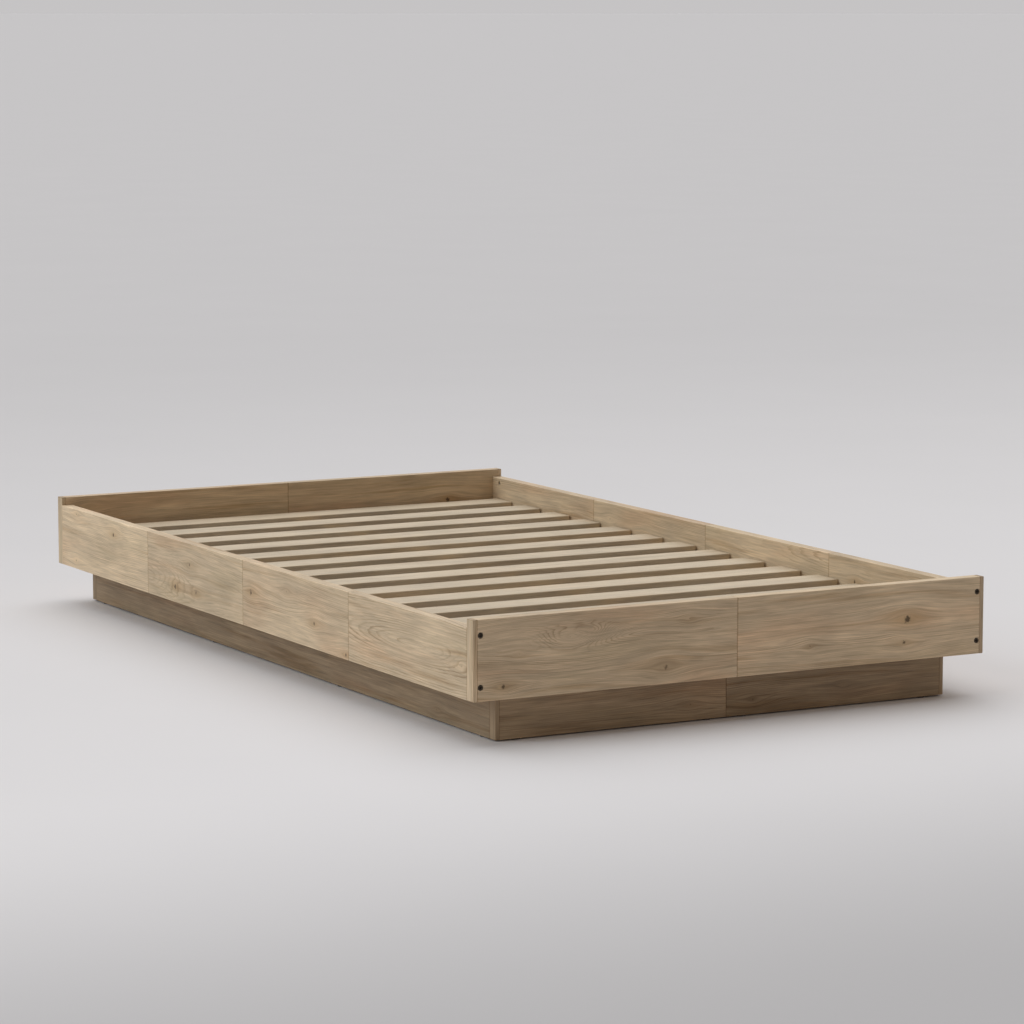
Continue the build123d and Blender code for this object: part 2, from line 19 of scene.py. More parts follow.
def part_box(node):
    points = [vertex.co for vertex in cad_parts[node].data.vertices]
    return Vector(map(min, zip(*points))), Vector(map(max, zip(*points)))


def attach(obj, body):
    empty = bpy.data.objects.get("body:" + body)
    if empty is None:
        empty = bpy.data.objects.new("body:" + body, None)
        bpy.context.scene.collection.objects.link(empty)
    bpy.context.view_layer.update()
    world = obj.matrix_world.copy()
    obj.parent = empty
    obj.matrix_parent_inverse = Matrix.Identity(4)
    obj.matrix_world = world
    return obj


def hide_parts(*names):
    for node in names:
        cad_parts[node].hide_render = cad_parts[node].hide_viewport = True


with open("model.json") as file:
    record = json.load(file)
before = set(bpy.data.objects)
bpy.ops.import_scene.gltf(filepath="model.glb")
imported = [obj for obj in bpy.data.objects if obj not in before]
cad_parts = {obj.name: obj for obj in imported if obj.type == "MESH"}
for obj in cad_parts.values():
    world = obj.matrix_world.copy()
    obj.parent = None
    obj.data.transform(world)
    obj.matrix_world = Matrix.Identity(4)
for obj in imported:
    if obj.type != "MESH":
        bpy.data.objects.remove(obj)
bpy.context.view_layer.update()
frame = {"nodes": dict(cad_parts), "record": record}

bl_info = {
    "name": "Platform Bed Looks",
    "version": (1, 0, 0),
    "blender": (4, 5, 0),
    "location": "View3D > Sidebar > Bed",
    "description": "Dresses the pieces of a wooden platform bed frame and sets up its studio",
    "category": "Object",
}

X_AXIS, Z_AXIS = 0, 2

# Pieces whose grain doesn't follow the longest side of their box
GRAIN_AXIS = {
    "plinth_end_caps": Z_AXIS,
    "plinth_corner_blocks": Z_AXIS,
    "plinth_splice_blocks": X_AXIS,
}

# A knot's place along its board and its height, its radius, how faint its heart is (0 dark, 1 none at all),
# and how many growth rings swell around it
Knot = namedtuple("Knot", "along height radius faintness rings")

# Knots and swirls of grain on the boards that face the camera
SEEN_KNOTS = {
    "foot_board_left": [
        Knot(-0.516, 0.113, 0.0060, 0.1, 1.5),
        Knot(-0.481, 0.169, 0.0050, 0.7, 1.0),
        Knot(-0.372, 0.194, 0.0058, 1.0, 10.0),
        Knot(-0.318, 0.206, 0.0040, 1.0, 4.0),
        Knot(-0.161, 0.123, 0.0100, 0.55, 1.5),
        Knot(-0.108, 0.204, 0.0060, 0.8, 2.0),
    ],
    "foot_board_right": [
        Knot(0.396, 0.171, 0.0095, 0.0, 1.5),
        Knot(0.389, 0.134, 0.0070, 0.4, 1.0),
        Knot(0.167, 0.136, 0.0050, 0.7, 1.0),
    ],
    "left_rail_board_1": [
        Knot(-0.985, 0.150, 0.0060, 0.7, 1.0),
    ],
    "left_rail_board_2": [
        Knot(-0.041, 0.163, 0.0075, 0.1, 2.0),
        Knot(-0.345, 0.140, 0.0060, 0.3, 2.0),
        Knot(-0.491, 0.099, 0.0050, 0.2, 1.0),
        Knot(-0.215, 0.185, 0.0060, 0.8, 3.0),
    ],
    "left_rail_board_4": [
        Knot(0.698, 0.194, 0.0060, 0.2, 2.0),
        Knot(0.917, 0.215, 0.0050, 0.5, 1.0),
        Knot(0.922, 0.109, 0.0050, 0.5, 1.0),
    ],
}

# How a board was sawn from its log: the height of the pith, how far through the board from its middle the
# pith lies, how fast that grows along the board, the spacing of the growth rings, how clearly they show, and
# the board's tone
Sawing = namedtuple("Sawing", "pith_height pith_depth slope ring_width figure tone")

# The boards that face the camera
SEEN_SAWINGS = {
    "foot_board_left": Sawing(0.036, 0.006, 0.060, 0.0024, 0.9, 1.00),
    "foot_board_right": Sawing(0.330, 0.060, 0.000, 0.0030, 0.8, 1.07),
    "foot_end_cap_right": Sawing(0.250, 0.030, 0.000, 0.0030, 0.8, 0.70),
    "left_rail_board_1": Sawing(0.163, -0.009, 0.115, 0.0046, 1.0, 1.00),
    "left_rail_board_2": Sawing(0.300, 0.050, 0.020, 0.0030, 0.8, 1.00),
    "left_rail_board_4": Sawing(0.020, 0.050, 0.000, 0.0034, 0.8, 1.12),
    "plinth_foot_left": Sawing(0.210, 0.030, 0.020, 0.0036, 0.9, 1.00),
    "plinth_foot_right": Sawing(-0.090, 0.020, -0.030, 0.0034, 0.9, 0.88),
    # The plinth's left side has a lower tone, partly as painted shade under the rails' overhang
    "plinth_left_side": Sawing(0.190, 0.030, 0.010, 0.0038, 0.9, 0.87),
}

# Boards glued up from two staves, and the height of their glue line
GLUE_HEIGHTS = {"foot_board_left": 0.136}

# A board without a knot or a glue line has it so far away that nothing shows
NO_KNOT = 9.0
NO_GLUE_HEIGHT = 9.0

# How fine a noise is: waves to the metre along the grain and across it, and its detail
Waves = namedtuple("Waves", "along across detail")

# A smooth step: from start at low to end at high
Ramp = namedtuple("Ramp", "low high start end", defaults=(0.0, 1.0))

# A piece's own frame: the axis of its grain, its directions, its centre, and half its size that way round
Board = namedtuple("Board", "along axes centre half")

# The inputs of sawn timber that come from how a wood looks
WOOD_COLOURS = ("Pale", "Line", "Blush", "Ash", "Streak", "Knot")
WOOD_STRENGTHS = ("Line strength", "Fibre strength", "Patch strength", "Streak strength")

SOCKET_KINDS = {"number": "NodeSocketFloat", "vector": "NodeSocketVector", "colour": "NodeSocketColor"}

# The sockets of a mix node that deal with colours
MIX_FACTOR, MIX_FIRST, MIX_SECOND, MIX_RESULT = 0, 6, 7, 2


def colour(name, description, default):
    """A colour that a user can change."""
    return FloatVectorProperty(
        name=name, description=description, default=default, subtype="COLOR", size=3, min=0.0, max=1.0
    )


def number(name, description, default, **limits):
    """A number that a user can change."""
    return FloatProperty(name=name, description=description, default=default, **limits)


def angle(name, description, degrees):
    """An angle that a user can change, given in degrees."""
    return number(name, description, math.radians(degrees), subtype="ANGLE")


# A length in metres, a share from 0 to 1, and a plain number that isn't negative
length = partial(number, unit="LENGTH", min=0.0, precision=5)
share = partial(number, subtype="FACTOR", min=0.0, max=1.0)
plain = partial(number, min=0.0)


class BED_PG_oak(bpy.types.PropertyGroup):
    """The oiled oak of the rails, the end boards and the plinth."""

    pale: colour("Pale Wood", "Colour between the grain lines", (0.660, 0.512, 0.344))
    line: colour("Grain Line", "Colour of the dense wood that ends each growth ring", (0.385, 0.262, 0.146))
    blush: colour("Blush", "Tint of the warm patches", (1.0, 0.89, 0.83))
    ash: colour("Ash", "Tint of the grey patches", (0.93, 0.94, 0.90))
    streak: colour("Streak", "Tint of the brown streaks", (0.72, 0.63, 0.52))
    knot: colour("Knot", "Colour of a knot's heart", (0.130, 0.085, 0.042))
    line_strength: share("Line Strength", "How far the grain lines go to their colour", 0.90)
    patch_strength: share("Patch Strength", "How strong the warm and grey patches are", 0.60)
    streak_strength: share("Streak Strength", "How strong the brown streaks are", 0.70)
    plinth_streaks: share("Plinth Streaks", "How strong the brown streaks are on the plinth", 1.0)
    fibre_strength: plain("Fibre Strength", "How strong the fibres are", 1.0)
    plinth_fibres: plain("Plinth Fibres", "How strong the fibres are on the plinth", 1.4)
    tone_spread: share("Tone Spread", "How far one board's tone can be from another's", 0.06)
    # The plinth's tint is partly a darker, browner wood and partly painted shade under the rails' overhang
    plinth_tint_and_shade: colour("Plinth Tint and Shade", "Tint of the plinth against the rails", (0.590, 0.545, 0.505))
    ring_width: length("Ring Width", "Spacing of the growth rings", 0.0031)
    drift: length("Drift", "How far the rings wander along a board", 0.022)


class BED_PG_timber(bpy.types.PropertyGroup):
    """The bare timber of the inner pieces, the slats and the dowels."""

    pale: colour("Inner Wood", "Colour of the ledgers, bearers and blocks", (0.600, 0.470, 0.310))
    line: colour("Inner Line", "Colour of their grain lines", (0.420, 0.280, 0.150))
    slat_pale: colour("Slat Wood", "Colour of the slats", (0.640, 0.530, 0.385))
    slat_line: colour("Slat Line", "Colour of the slats' grain lines", (0.480, 0.350, 0.220))
    dowel_pale: colour("Dowel Wood", "Colour of the dowels", (0.600, 0.430, 0.280))
    dowel_line: colour("Dowel Line", "Colour of the dowels' grain lines", (0.470, 0.310, 0.190))
    ring_width: length("Ring Width", "Spacing of the growth rings", 0.0034)
    drift: length("Drift", "How far the rings wander along a piece", 0.014)


class BED_PG_webbing(bpy.types.PropertyGroup):
    """The two cotton straps under the slats."""

    cotton: colour("Cotton", "Colour of the yarn's crowns", (0.700, 0.640, 0.530))
    # The colour between the yarns is painted shade in the weave's hollows
    shade: colour("Shade", "Colour between the yarns", (0.360, 0.310, 0.230))
    thickness: length("Thickness", "Thickness of the webbing", 0.0018)
    yarn: length("Yarn", "Spacing of the yarns", 0.0012)
    sag: length("Sag", "How far a strap hangs between two slats", 0.0012)
    hem: length("Hem", "Length turned under at each end", 0.032)


class BED_PG_fittings(bpy.types.PropertyGroup):
    """Bolts, brackets, screws and glides."""

    black: colour("Black Steel", "Colour of the blackened bolts and washers", (0.055, 0.042, 0.030))
    zinc: colour("Zinc", "Colour of the plated brackets, screws, nuts and tacks", (0.600, 0.600, 0.580))
    plastic: colour("Glide Plastic", "Colour of the floor glides", (0.060, 0.055, 0.050))


class BED_PG_stage(bpy.types.PropertyGroup):
    """The studio: floor, light and camera."""

    floor: colour("Floor", "Colour of the floor round the bed", (0.860, 0.842, 0.856))
    backdrop: colour("Backdrop", "Colour that the camera sees above the floor", (0.560, 0.548, 0.552))
    floor_reach: length("Floor Reach", "Radius of the floor", 400.0)
    key_colour: colour("Key Colour", "Colour of the soft key light", (0.96, 0.98, 1.0))
    key_strength: plain("Key Strength", "Strength of the soft key light", 1.76)
    key_softness: angle("Key Softness", "How wide the key light looks", 80.0)
    key_height: angle("Key Height", "How high the key light stands", 60.0)
    key_turn: angle("Key Turn", "How far round the key light stands from the bed's left side", 110.0)
    fill_colour: colour("Fill Colour", "Colour of the low fill light", (0.82, 0.93, 1.0))
    fill_strength: plain("Fill Strength", "Strength of the low fill light", 0.90)
    fill_softness: angle("Fill Softness", "How wide the fill light looks", 40.0)
    fill_height: angle("Fill Height", "How high the fill light stands", 26.0)
    fill_turn: angle("Fill Turn", "How far round the fill light stands from the bed's left side", 10.0)
    sky_colour: colour("Sky Colour", "Colour of the even light from all round", (1.0, 0.90, 0.80))
    sky_strength: plain("Sky Strength", "Strength of the even light from all round", 0.25)
    lens: plain("Lens", "Focal length on a 36 mm wide sensor, in millimetres", 135.67)
    camera_place: FloatVectorProperty(
        name="Camera Place",
        description="Where the camera stands",
        default=(-3.9085, -7.3002, 1.3895),
        subtype="TRANSLATION",
        size=3,
    )
    camera_yaw: angle("Camera Yaw", "Turn of the camera from the bed's length", 28.548)
    camera_pitch: angle("Camera Pitch", "How far the camera looks down", 7.559)


class Graph:
    """A node tree written as short expressions: each call adds a node and gives its output."""

    def __init__(self, tree):
        self.tree = tree

    def node(self, kind, **settings):
        """Add a node and set its own settings."""
        made = self.tree.nodes.new(kind)
        for name, value in settings.items():
            setattr(made, name, value)
        return made

    def feed(self, socket, value):
        """Link an output to a socket, or write a plain value into it."""
        if isinstance(value, bpy.types.NodeSocket):
            self.tree.links.new(value, socket)
        else:
            socket.default_value = value

    def fill(self, node, **values):
        """Feed a node's inputs by name, with an underscore for each space, and give the node."""
        for name, value in values.items():
            self.feed(node.inputs[name.replace("_", " ")], value)
        return node

    def wire(self, kind, *values, **settings):
        """Add a node, feed its inputs in their order, and give its first output."""
        made = self.node(kind, **settings)
        for socket, value in zip(made.inputs, values):
            self.feed(socket, value)
        return made.outputs[0]

    def math(self, operation, *values):
        """Scalar arithmetic."""
        return self.wire("ShaderNodeMath", *values, operation=operation)

    def times(self, *values):
        """A product of two numbers."""
        return self.math("MULTIPLY", *values)

    def scaled(self, value, factor, start=0.0):
        """A value times a factor, added to a start."""
        return self.math("MULTIPLY_ADD", value, factor, start)

    def weighted(self, start, *shares):
        """A start with several values added to it, each times its weight."""
        for value, weight in shares:
            start = self.scaled(value, weight, start)
        return start

    def hypot(self, first, second):
        """The distance that two legs at right angles span."""
        squares = self.math("ADD", self.math("POWER", first, 2.0), self.math("POWER", second, 2.0))
        return self.math("SQRT", squares)

    def vector(self, operation, *vectors):
        """Vector arithmetic."""
        return self.wire("ShaderNodeVectorMath", *vectors, operation=operation)

    def scale(self, vector, factor):
        """A vector or a colour times a number."""
        made = self.node("ShaderNodeVectorMath", operation="SCALE")
        return self.fill(made, Vector=vector, Scale=factor).outputs[0]

    def split(self, vector):
        """The three parts of a vector."""
        return tuple(self.wire("ShaderNodeSeparateXYZ", vector).node.outputs)

    def join(self, *parts):
        """A vector from its three parts."""
        return self.wire("ShaderNodeCombineXYZ", *parts)

    def ramp(self, value, ramp):
        """A value taken through a smooth step."""
        return self.wire("ShaderNodeMapRange", value, *ramp, interpolation_type="SMOOTHSTEP")

    def noise(self, position, waves):
        """Noise about zero."""
        made = self.node("ShaderNodeTexNoise")
        stretched = self.vector("MULTIPLY", position, (waves.along, waves.across, waves.across))
        self.fill(made, Vector=stretched, Scale=1.0, Detail=waves.detail)
        return self.math("SUBTRACT", made.outputs["Fac"], 0.5)

    def mix(self, factor, first, second, blend="MIX"):
        """A colour between two, by factor."""
        made = self.node("ShaderNodeMix", data_type="RGBA", blend_type=blend)
        for index, value in ((MIX_FACTOR, factor), (MIX_FIRST, first), (MIX_SECOND, second)):
            if isinstance(value, tuple):
                value = (*value, 1.0)
            self.feed(made.inputs[index], value)
        return made.outputs[MIX_RESULT]

    def spotted(self, skin, light, position, waves, edge):
        """A skin's colour with spots that are lighter by a factor."""
        spots = self.ramp(self.noise(position, waves), edge)
        return self.mix(spots, tuple(skin), tuple(light * part for part in skin))

    def spot(self):
        """Where a point lies on its piece, in the bed's frame."""
        return self.node("ShaderNodeTexCoord").outputs["Object"]

    def bump(self, height, strength, depth):
        """A surface direction that is tilted by the slopes of a height."""
        made = self.node("ShaderNodeBump")
        return self.fill(made, Height=height, Strength=strength, Distance=depth).outputs[0]

    def group(self, name, build, **values):
        """The outputs of a group that is built once and used again, with its inputs fed by name."""
        tree = bpy.data.node_groups.get(name) or build(name)
        return self.fill(self.node("ShaderNodeGroup", node_tree=tree), **values).outputs


def new_group(name, inputs, outputs):
    """An empty shader group with these sockets, listed by kind: its graph, its inputs and its last node."""
    tree = bpy.data.node_groups.new(name, "ShaderNodeTree")
    for way, kinds in (("INPUT", inputs), ("OUTPUT", outputs)):
        for kind, sockets in kinds.items():
            for socket in sockets:
                tree.interface.new_socket(name=socket, in_out=way, socket_type=SOCKET_KINDS[kind])
    graph = Graph(tree)
    return graph, graph.node("NodeGroupInput").outputs, graph.node("NodeGroupOutput")


def knot_group(name):
    """A knot: it bends the grain, lifts the rings near it, stains the wood and has a dark heart.

    Positions are in the board's own frame: along the grain, across the board, through the board.
    """
    flow_stretch, flow_reach = 2.2, 2.4
    ring_stretch, ring_reach = 2.6, 4.5
    stain_stretch, stain_reach = 3.2, 1.7
    heart_stretch = 0.9
    outline_waves = Waves(190.0, 190.0, 1.0)
    outline_wobble = 1.3
    graph, entry, leave = new_group(
        name,
        {
            "vector": ("Position", "Centre"),
            "number": ("Radius", "Faintness", "Lift", "Lift before", "Distance before", "Stain before"),
        },
        {"vector": ("Position",), "number": ("Lift", "Distance", "Stain")},
    )

    def distance(stretch):
        """Distance from the heart in radii, with the grain's direction shortened by stretch."""
        span = graph.hypot(graph.math("DIVIDE", along, stretch), across)
        return graph.math("DIVIDE", span, entry["Radius"])

    def spread(stretch, reach):
        """The square of the distance from the heart, in reaches."""
        return graph.math("POWER", graph.math("DIVIDE", distance(stretch), reach), 2.0)

    def bell(stretch, reach):
        """One at the heart, falling off smoothly to nothing past reach radii."""
        return graph.math("EXPONENT", graph.times(spread(stretch, reach), -1.0))

    offset = graph.vector("SUBTRACT", entry["Position"], entry["Centre"])
    along, across, _ = graph.split(offset)
    bend = graph.math("DIVIDE", across, graph.math("ADD", spread(flow_stretch, flow_reach), 1.0))
    bent = graph.vector("SUBTRACT", entry["Position"], graph.join(0.0, bend, 0.0))
    lift = graph.scaled(bell(ring_stretch, ring_reach), entry["Lift"], entry["Lift before"])
    wobble = graph.noise(entry["Position"], outline_waves)
    outline = graph.scaled(wobble, outline_wobble, distance(heart_stretch))
    heart = graph.math("ADD", outline, entry["Faintness"])
    darkness = graph.math("SUBTRACT", 1.0, entry["Faintness"])
    stain = graph.times(bell(stain_stretch, stain_reach), darkness)
    graph.fill(
        leave,
        Position=bent,
        Lift=lift,
        Distance=graph.math("MINIMUM", heart, entry["Distance before"]),
        Stain=graph.math("MAXIMUM", stain, entry["Stain before"]),
    )
    return graph.tree


def growth_rings(graph, entry, place, stave):
    """How many growth rings lie between each point and the pith, counted in parts of a ring."""
    stave_pith_step = 0.15
    drift_waves = Waves(1.9, 5.5, 1.0)
    bow_waves = Waves(6.0, 34.0, 2.0)
    bow_depth = 0.0050
    ripple_waves = Waves(16.0, 240.0, 2.0)
    ripple_depth = 0.0024
    along, across, depth = graph.split(entry["Position"])
    pith_across = graph.scaled(stave, stave_pith_step, entry["Pith across"])
    pith_depth = graph.scaled(along, entry["Pith slope"], entry["Pith depth"])
    aside = graph.math("SUBTRACT", across, pith_across)
    behind = graph.math("SUBTRACT", depth, pith_depth)
    moved = graph.weighted(
        graph.hypot(aside, behind),
        (graph.noise(place, drift_waves), entry["Drift"]),
        (graph.noise(place, bow_waves), bow_depth),
        (graph.noise(place, ripple_waves), ripple_depth),
    )
    return graph.math("DIVIDE", graph.math("ADD", moved, entry["Lift"]), entry["Ring width"])


def ring_lines(graph, entry, place, rings):
    """The dense wood that ends each ring: stronger in some years, faded in places, clear in swirls."""
    dense_start = Ramp(0.45, 0.90)
    dense_end = Ramp(0.92, 1.0)
    weakest_year = 0.2
    fade_waves = Waves(4.0, 22.0, 2.0)
    fade = Ramp(-0.14, 0.14, 0.25, 1.0)
    swirl_start = Ramp(0.003, 0.014, 0.0, 0.75)
    swirl_eye = Ramp(0.017, 0.025, 1.0, 0.1)
    part = graph.math("FRACT", rings)
    dense = graph.math("SUBTRACT", graph.ramp(part, dense_start), graph.ramp(part, dense_end))
    shift_along, _, _ = graph.split(entry["Shift"])
    year = graph.node("ShaderNodeTexWhiteNoise", noise_dimensions="1D")
    graph.fill(year, W=graph.math("ADD", graph.math("FLOOR", rings), shift_along))
    strength = graph.scaled(year.outputs["Value"], 1.0 - weakest_year, weakest_year)
    faded = graph.times(strength, graph.ramp(graph.noise(place, fade_waves), fade))
    swirl = graph.times(graph.ramp(entry["Lift"], swirl_start), graph.ramp(entry["Lift"], swirl_eye))
    return graph.times(dense, graph.math("MAXIMUM", faded, swirl))


def fibres_and_pores(graph, entry, place, rings):
    """Fine fibres, broad fibres and pores along the grain. Most pores lie early in their ring."""
    fibre_waves = Waves(15.0, 620.0, 3.0)
    broad_waves = Waves(10.0, 230.0, 3.0)
    pore_waves = Waves(20.0, 1000.0, 0.0)
    pore_edge = Ramp(0.08, 0.20)
    early_wood = Ramp(0.65, 0.15, 0.25, 1.0)
    fibre = graph.times(graph.noise(place, fibre_waves), entry["Fibre strength"])
    broad_fibre = graph.times(graph.noise(place, broad_waves), entry["Fibre strength"])
    early = graph.ramp(graph.math("FRACT", rings), early_wood)
    pore = graph.times(graph.ramp(graph.noise(place, pore_waves), pore_edge), early)
    return fibre, broad_fibre, pore


def glue_seam(graph, place, from_glue):
    """The line between two staves, which shows only in places."""
    seam_edge = Ramp(0.0004, 0.0012, 1.0, 0.0)
    show_waves = Waves(6.0, 6.0, 1.0)
    show_edge = Ramp(-0.10, 0.10)
    seam = graph.ramp(graph.math("ABSOLUTE", from_glue), seam_edge)
    return graph.times(seam, graph.ramp(graph.noise(place, show_waves), show_edge))


def wood_colour(graph, entry, place, line):
    """The wood with its grain lines, patches of warm and grey wood, and brown streaks."""
    patch_waves = Waves(3.2, 15.0, 2.0)
    warm_edge = Ramp(0.02, 0.22)
    grey_edge = Ramp(-0.02, -0.22)
    streak_waves = Waves(2.6, 55.0, 3.0)
    streak_edge = Ramp(0.03, 0.24)
    patch = graph.noise(place, patch_waves)
    streak = graph.noise(place, streak_waves)
    wood = graph.mix(graph.times(line, entry["Line strength"]), entry["Pale"], entry["Line"])
    for cover, strength, tint in (
        (graph.ramp(patch, warm_edge), entry["Patch strength"], entry["Blush"]),
        (graph.ramp(patch, grey_edge), entry["Patch strength"], entry["Ash"]),
        (graph.ramp(streak, streak_edge), entry["Streak strength"], entry["Streak"]),
    ):
        wood = graph.mix(graph.times(cover, strength), wood, tint, "MULTIPLY")
    return wood


def wood_light(graph, entry, place, fibre, broad_fibre, pore, glue):
    """How light the wood is: its tone, with clouds and mottling, fibres, pores and the glue line."""
    cloud_waves = Waves(5.0, 16.0, 3.0)
    cloud_tone = Ramp(-0.25, 0.25, 0.90, 1.10)
    mottle_waves = Waves(13.0, 75.0, 2.0)
    mottle_depth, fibre_depth, broad_depth = 0.5, 0.36, 0.62
    pore_shade, glue_shade = 0.20, 0.28
    mottle = graph.times(graph.noise(place, mottle_waves), entry["Patch strength"])
    light = graph.times(graph.ramp(graph.noise(place, cloud_waves), cloud_tone), entry["Tone"])
    for cover, depth in (
        (mottle, mottle_depth),
        (fibre, fibre_depth),
        (broad_fibre, broad_depth),
        (pore, -pore_shade),
        (glue, -glue_shade),
    ):
        light = graph.times(light, graph.scaled(cover, depth, 1.0))
    return light


def grain_group(name):
    """Sawn timber: growth rings cut by the board, fibres, pores, patches of colour and knots.

    Rings lie round a pith at a slant to the board, which draws arches on its face, and they wander a little.
    A board that is glued up from two staves has other grain above its glue line.
    """
    ring_numbers = ("Pith across", "Pith depth", "Pith slope", "Ring width", "Drift", "Glue line", "Tone")
    knot_numbers = ("Lift", "Knot distance", "Knot stain")
    stave_shift = (3.1, 1.7, 0.9)
    stain_tint = (0.80, 0.73, 0.63)
    heart_edge = Ramp(1.15, 0.35)
    plain_roughness = 0.66
    line_gloss, heart_gloss, fibre_roughness = 0.10, 0.14, 0.16
    line_rise, fibre_rise, pore_drop, glue_drop = 0.35, 0.9, 0.8, 0.5
    graph, entry, leave = new_group(
        name,
        {
            "vector": ("Position", "Shift"),
            "colour": WOOD_COLOURS,
            "number": ring_numbers + knot_numbers + WOOD_STRENGTHS,
        },
        {"colour": ("Colour",), "number": ("Roughness", "Height")},
    )
    _, board_across, _ = graph.split(entry["Position"])
    from_glue = graph.math("SUBTRACT", board_across, entry["Glue line"])
    stave = graph.math("GREATER_THAN", from_glue, 0.0)
    place = graph.vector("ADD", entry["Position"], entry["Shift"])
    place = graph.vector("ADD", place, graph.scale(stave_shift, stave))

    rings = growth_rings(graph, entry, place, stave)
    line = ring_lines(graph, entry, place, rings)
    fibre, broad_fibre, pore = fibres_and_pores(graph, entry, place, rings)
    glue = glue_seam(graph, place, from_glue)
    light = wood_light(graph, entry, place, fibre, broad_fibre, pore, glue)
    wood = graph.scale(wood_colour(graph, entry, place, line), light)

    # A knot is a stain drawn out along the grain round a dark heart
    stained = graph.mix(entry["Knot stain"], wood, stain_tint, "MULTIPLY")
    heart = graph.ramp(entry["Knot distance"], heart_edge)
    rough = graph.weighted(
        plain_roughness, (line, -line_gloss), (heart, -heart_gloss), (fibre, fibre_roughness)
    )
    relief = graph.weighted(
        0.0, (line, line_rise), (fibre, fibre_rise), (pore, -pore_drop), (glue, -glue_drop)
    )
    graph.fill(leave, Colour=graph.mix(heart, stained, entry["Knot"]), Roughness=rough, Height=relief)
    return graph.tree


def arris_group(name):
    """Edges: arrises paler as wear and painted highlight; ends darker as dirt and painted shade in the
    seams.
    """
    uneven_waves = Waves(14.0, 90.0, 2.0)
    uneven_depth = 0.004
    rub_and_highlight_edge = Ramp(0.0006, 0.0034, 0.55, 0.0)
    rub_and_highlight_tint = (1.20, 1.20, 1.20)
    dirt_and_seam_shade_edge = Ramp(0.0006, 0.0026, 0.48, 0.0)
    dirt_and_seam_shade_tint = (0.45, 0.38, 0.30)
    graph, entry, leave = new_group(
        name,
        {"vector": ("Position", "Half size", "Shift"), "colour": ("Colour",)},
        {"colour": ("Colour",)},
    )
    gaps = graph.vector("SUBTRACT", entry["Half size"], graph.vector("ABSOLUTE", entry["Position"]))
    along, across, through = graph.split(gaps)
    nearer = graph.math("MINIMUM", along, across)
    farther = graph.math("MAXIMUM", along, across)
    # The distance to an edge is the middle one of the three gaps
    to_edge = graph.math("MAXIMUM", nearer, graph.math("MINIMUM", farther, through))
    place = graph.vector("ADD", entry["Position"], entry["Shift"])
    uneven = graph.scaled(graph.noise(place, uneven_waves), uneven_depth, to_edge)
    # The arrises are paler, partly as wear and partly as a painted highlight
    wear_and_painted_light = graph.mix(graph.ramp(uneven, rub_and_highlight_edge), entry["Colour"], rub_and_highlight_tint, "MULTIPLY")
    # The board ends are darker, partly as dirt and partly as painted shade in the seams
    graph.fill(leave, Colour=graph.mix(graph.ramp(along, dirt_and_seam_shade_edge), wear_and_painted_light, dirt_and_seam_shade_tint, "MULTIPLY"))
    return graph.tree


def nodes_in(slot):
    """The bed's pieces that share a finish in the record."""
    found = [part["node"] for part in frame["record"]["subparts"] if part["material_slot"] == slot]
    if not found:
        raise RuntimeError(f"the bed has no piece with the finish {slot}")
    return found


def new_material(name):
    """An empty material with its graph and its principled shader."""
    material = bpy.data.materials.new(name)
    material.use_nodes = True
    material.node_tree.nodes.clear()
    graph = Graph(material.node_tree)
    shader = graph.node("ShaderNodeBsdfPrincipled")
    graph.fill(graph.node("ShaderNodeOutputMaterial"), Surface=shader.outputs[0])
    return material, graph, shader


def dress(node, material):
    """Give one of the bed's pieces its material, in every slot that it has."""
    slots = frame["nodes"][node].data.materials
    slots.clear()
    slots.append(material)


def grain_axes(size, along):
    """A board's own directions as the rows of a rotation: along the grain, across the board, through it."""
    through, across = sorted((axis for axis in range(3) if axis != along), key=lambda axis: size[axis])
    rows = [[float(column == axis) for column in range(3)] for axis in (along, across, through)]
    axes = Matrix(rows)
    if axes.determinant() < 0.0:
        axes[2] = -axes[2]
    return axes


def board_frame(node):
    """A piece's own frame, from its box."""
    low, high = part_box(node)
    size = high - low
    longest = max(range(3), key=lambda axis: size[axis])
    along = GRAIN_AXIS.get(node, longest)
    axes = grain_axes(size, along)
    return Board(along, axes, (low + high) / 2, Vector(map(abs, axes @ (size / 2))))


def seeded_knots(node, most, faintness):
    """Knots at seeded places on a board, clear of its edges: one or more, each as faint as one of these."""
    end_gap = 0.05
    edge_gap = 0.02
    radii = (0.0045, 0.0075)
    rings = (1.0, 2.5)
    low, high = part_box(node)
    along = board_frame(node).along
    chance = random.Random(f"knots of {node}")
    return [
        Knot(
            chance.uniform(low[along] + end_gap, high[along] - end_gap),
            chance.uniform(low.z + edge_gap, high.z - edge_gap),
            chance.uniform(*radii),
            chance.choice(faintness),
            chance.uniform(*rings),
        )
        for _ in range(chance.randint(1, most))
    ]


def seeded_sawing(chance, board, look):
    """How a board was sawn where the camera doesn't face it."""
    deepest_pith = 0.05
    steepest_slope = 0.06
    ring_shares = (0.9, 1.4)
    figures = (0.6, 1.0)
    side = chance.choice((-1.0, 1.0))
    return Sawing(
        board.centre.z + side * chance.uniform(*look["pith_reach"]) * board.half.y,
        chance.uniform(0.0, deepest_pith),
        chance.uniform(-steepest_slope, steepest_slope),
        chance.uniform(*ring_shares) * look["ring_width"],
        chance.uniform(*figures),
        1.0 + chance.uniform(-1.0, 1.0) * look["tone_spread"],
    )


